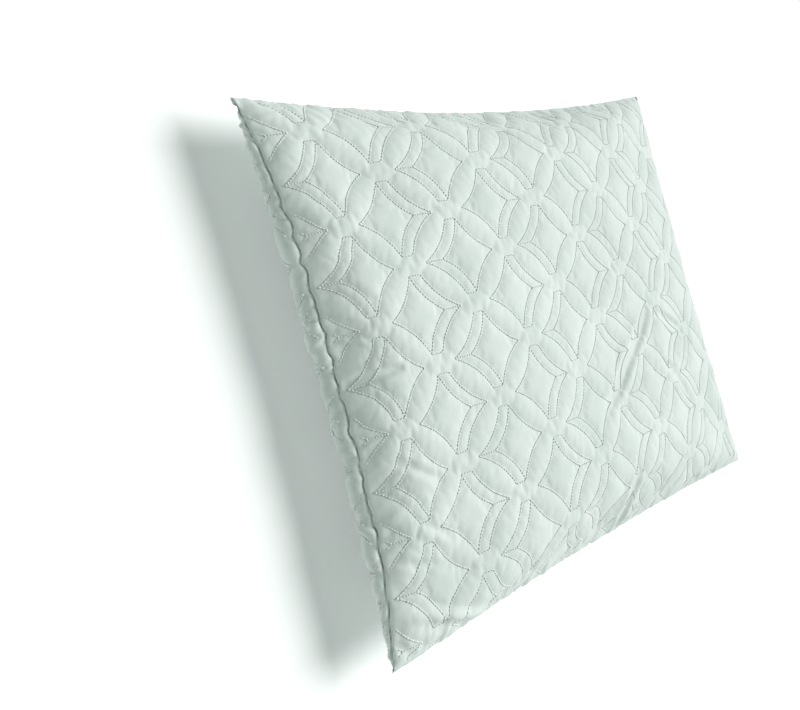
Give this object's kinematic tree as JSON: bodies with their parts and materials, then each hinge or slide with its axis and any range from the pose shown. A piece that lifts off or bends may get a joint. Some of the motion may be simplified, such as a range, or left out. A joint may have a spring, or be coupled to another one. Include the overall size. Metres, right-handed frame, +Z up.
{
  "type": "bed pillow",
  "caption": "Standard bed pillow with quilted front and back panels, a knife-edge seam, pointed corners and a crowned fibre filling.",
  "frame": {"origin": "under the middle of the pillow, on the surface it rests on", "axes": "+Z up through the front face, +X along the long side, +Y along the short side"},
  "size_m": [0.66, 0.508, 0.116],
  "materials": {
    "cover_microfibre": "brushed microfibre, matt with a faint sheen",
    "quilt_wadding": "bonded polyester wadding",
    "backing_scrim": "thin non-woven",
    "fibre_fill": "loose hollow polyester fibre",
    "sewing_thread": "polyester thread, slight sheen",
    "label_satin": "blank polyester satin tape"
  },
  "bodies": {
    "root": {"front_cover_fabric": "cover_microfibre", "front_quilt_wadding": "quilt_wadding", "front_backing_scrim": "backing_scrim", "back_cover_fabric": "cover_microfibre", "back_quilt_wadding": "quilt_wadding", "back_backing_scrim": "backing_scrim", "fibre_fill": "fibre_fill", "perimeter_seam_thread": "sewing_thread", "closing_seam_thread": "sewing_thread", "care_label": "label_satin"}
  },
  "joints": []
}
